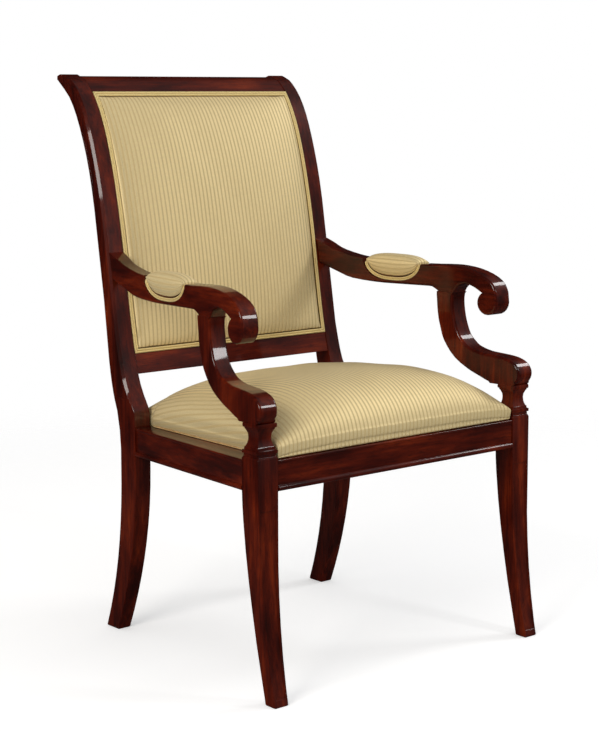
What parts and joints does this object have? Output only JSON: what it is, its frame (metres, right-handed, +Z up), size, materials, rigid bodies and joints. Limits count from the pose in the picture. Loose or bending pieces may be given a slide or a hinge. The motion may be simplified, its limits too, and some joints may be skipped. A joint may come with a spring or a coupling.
{
  "type": "fauteuil",
  "caption": "Open armchair with sabre legs, scrolled back posts, arms that end in a volute on C-scroll supports, and striped upholstery on seat, back and arm pads.",
  "frame": {"origin": "on the floor, under the middle of the chair's bounding box", "axes": "+Z up; the chair faces -Y; +X is on the right of someone who faces it"},
  "size_m": [0.614, 0.6714, 0.988],
  "materials": {
    "mahogany": "polished, red-brown stain under gloss lacquer",
    "beech": "planed, unfinished",
    "striped_satin": "woven satin, tone-on-tone stripes",
    "stuffing": "moulded foam",
    "jute": "coarse woven",
    "cambric": "plain woven",
    "steel": "zinc plated"
  },
  "bodies": {
    "root": {"rear_post_left": "mahogany", "rear_post_right": "mahogany", "front_leg_left": "mahogany", "front_leg_right": "mahogany", "side_seat_rail_left": "mahogany", "side_seat_rail_right": "mahogany", "arm_left": "mahogany", "arm_right": "mahogany", "arm_support_left": "mahogany", "arm_support_right": "mahogany", "crest_rail": "mahogany", "lower_back_rail": "mahogany", "front_seat_rail": "mahogany", "rear_seat_rail": "mahogany", "corner_block_front_left": "beech", "corner_block_front_right": "beech", "corner_block_rear_left": "beech", "corner_block_rear_right": "beech", "arm_dowel_lower_left": "beech", "arm_dowel_lower_right": "beech", "arm_dowel_upper_left": "beech", "arm_dowel_upper_right": "beech", "support_dowel_left": "beech", "support_dowel_right": "beech", "seat_board": "beech", "back_board": "beech", "arm_pad_cover_left": "striped_satin", "arm_pad_cover_right": "striped_satin", "arm_pad_welt_left": "striped_satin", "arm_pad_welt_right": "striped_satin", "seat_cover": "striped_satin", "back_cover": "striped_satin", "back_welt": "striped_satin", "outside_back": "striped_satin", "outside_back_welt": "striped_satin", "arm_pad_foam_left": "stuffing", "arm_pad_foam_right": "stuffing", "seat_foam": "stuffing", "back_foam": "stuffing", "seat_webbing": "jute", "seat_dust_cover": "cambric", "front_rail_screw_left": "steel", "front_rail_screw_right": "steel", "rear_rail_screw_left": "steel", "rear_rail_screw_right": "steel", "side_rail_screw_front_left": "steel", "side_rail_screw_front_right": "steel", "side_rail_screw_rear_left": "steel", "side_rail_screw_rear_right": "steel", "seat_screw_front_left": "steel", "seat_screw_front_right": "steel", "seat_screw_rear_left": "steel", "seat_screw_rear_right": "steel"}
  },
  "joints": []
}
